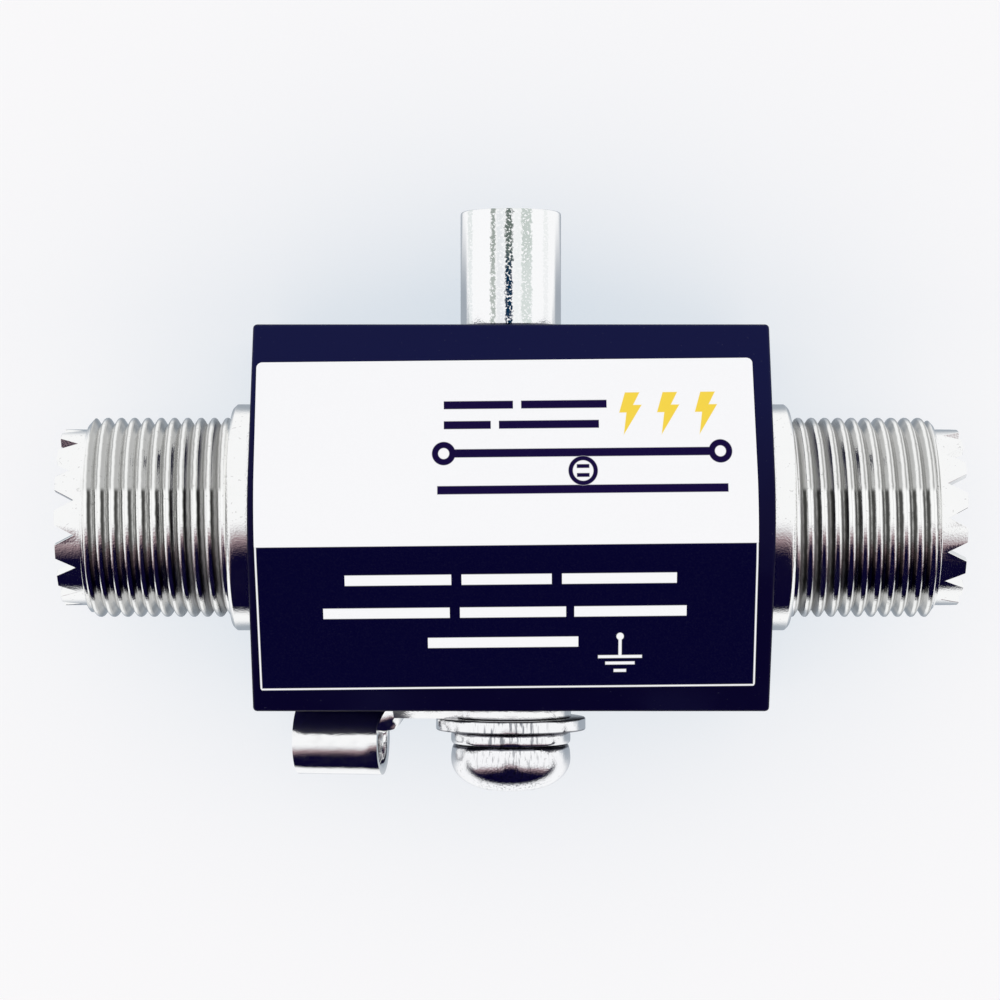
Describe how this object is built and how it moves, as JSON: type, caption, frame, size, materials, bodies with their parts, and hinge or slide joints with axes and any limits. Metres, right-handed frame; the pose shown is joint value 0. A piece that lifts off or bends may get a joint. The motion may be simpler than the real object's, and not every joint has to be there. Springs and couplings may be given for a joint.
{
  "type": "in-line coaxial lightning arrestor",
  "caption": "Gabled metal block with a threaded coaxial socket at each end, a screw cap over a gas discharge tube, and a ground screw with a crimp lug.",
  "frame": {"origin": "middle of the block's flat back face, below the point where the coaxial, cap and ground screw axes meet", "axes": "+X along the coaxial axis, +Y towards the gas tube's cap, +Z out of the labelled gable, away from the back face"},
  "size_m": [0.071, 0.046, 0.0251],
  "materials": {
    "black_paint": "satin",
    "printed_film": "gloss",
    "nickel_plate": "polished",
    "white_insulator": "matte",
    "bronze": "satin",
    "brass_rod": "satin",
    "alumina": "matte",
    "tube_electrode": "satin",
    "spring_steel": "satin",
    "polished_cap": "polished",
    "tinned_copper": "polished",
    "plated_steel": "polished"
  },
  "bodies": {
    "block": {"housing": "black_paint", "face_label": "printed_film", "left_connector_shell": "nickel_plate", "right_connector_shell": "nickel_plate", "left_insulator": "white_insulator", "right_insulator": "white_insulator", "left_retaining_ring": "bronze", "right_retaining_ring": "bronze", "left_centre_contact": "bronze", "right_centre_contact": "bronze", "line_conductor": "brass_rod", "gas_tube_ceramic": "alumina", "gas_tube_line_electrode": "tube_electrode", "gas_tube_cap_electrode": "tube_electrode"},
    "spring_stack": {"pressure_disc": "brass_rod", "contact_spring": "spring_steel"},
    "cap": {"gas_tube_cap": "polished_cap"},
    "lug": {"ground_lug": "tinned_copper"},
    "washers": {"flat_washer": "plated_steel", "spring_washer": "plated_steel"},
    "screw": {"ground_screw": "plated_steel"}
  },
  "joints": [
    {"name": "cap_lift", "type": "slide", "parent": "block", "child": "spring_stack", "axis": [0, 1, 0], "range_m": [0, 0.005]},
    {"name": "cap_turn", "type": "hinge", "parent": "spring_stack", "child": "cap", "pos_m": [0, 0.015, 0.012], "axis": [0, 1, 0], "range_deg": [0, 2405]},
    {"name": "screw_lift", "type": "slide", "parent": "block", "child": "washers", "axis": [0, -1, 0], "range_m": [0, 0.0068]},
    {"name": "screw_turn", "type": "hinge", "parent": "washers", "child": "screw", "pos_m": [0, -0.018, 0.012], "axis": [0, -1, 0], "range_deg": [0, 3065]},
    {"name": "lug_swing", "type": "hinge", "parent": "block", "child": "lug", "pos_m": [0, -0.01545, 0.012], "axis": [0, -1, 0], "continuous": true}
  ],
  "couplings": [
    {"joint": "cap_turn", "follows": "cap_lift", "rad_per_m": 8377.6},
    {"joint": "screw_turn", "follows": "screw_lift", "rad_per_m": 7854}
  ]
}
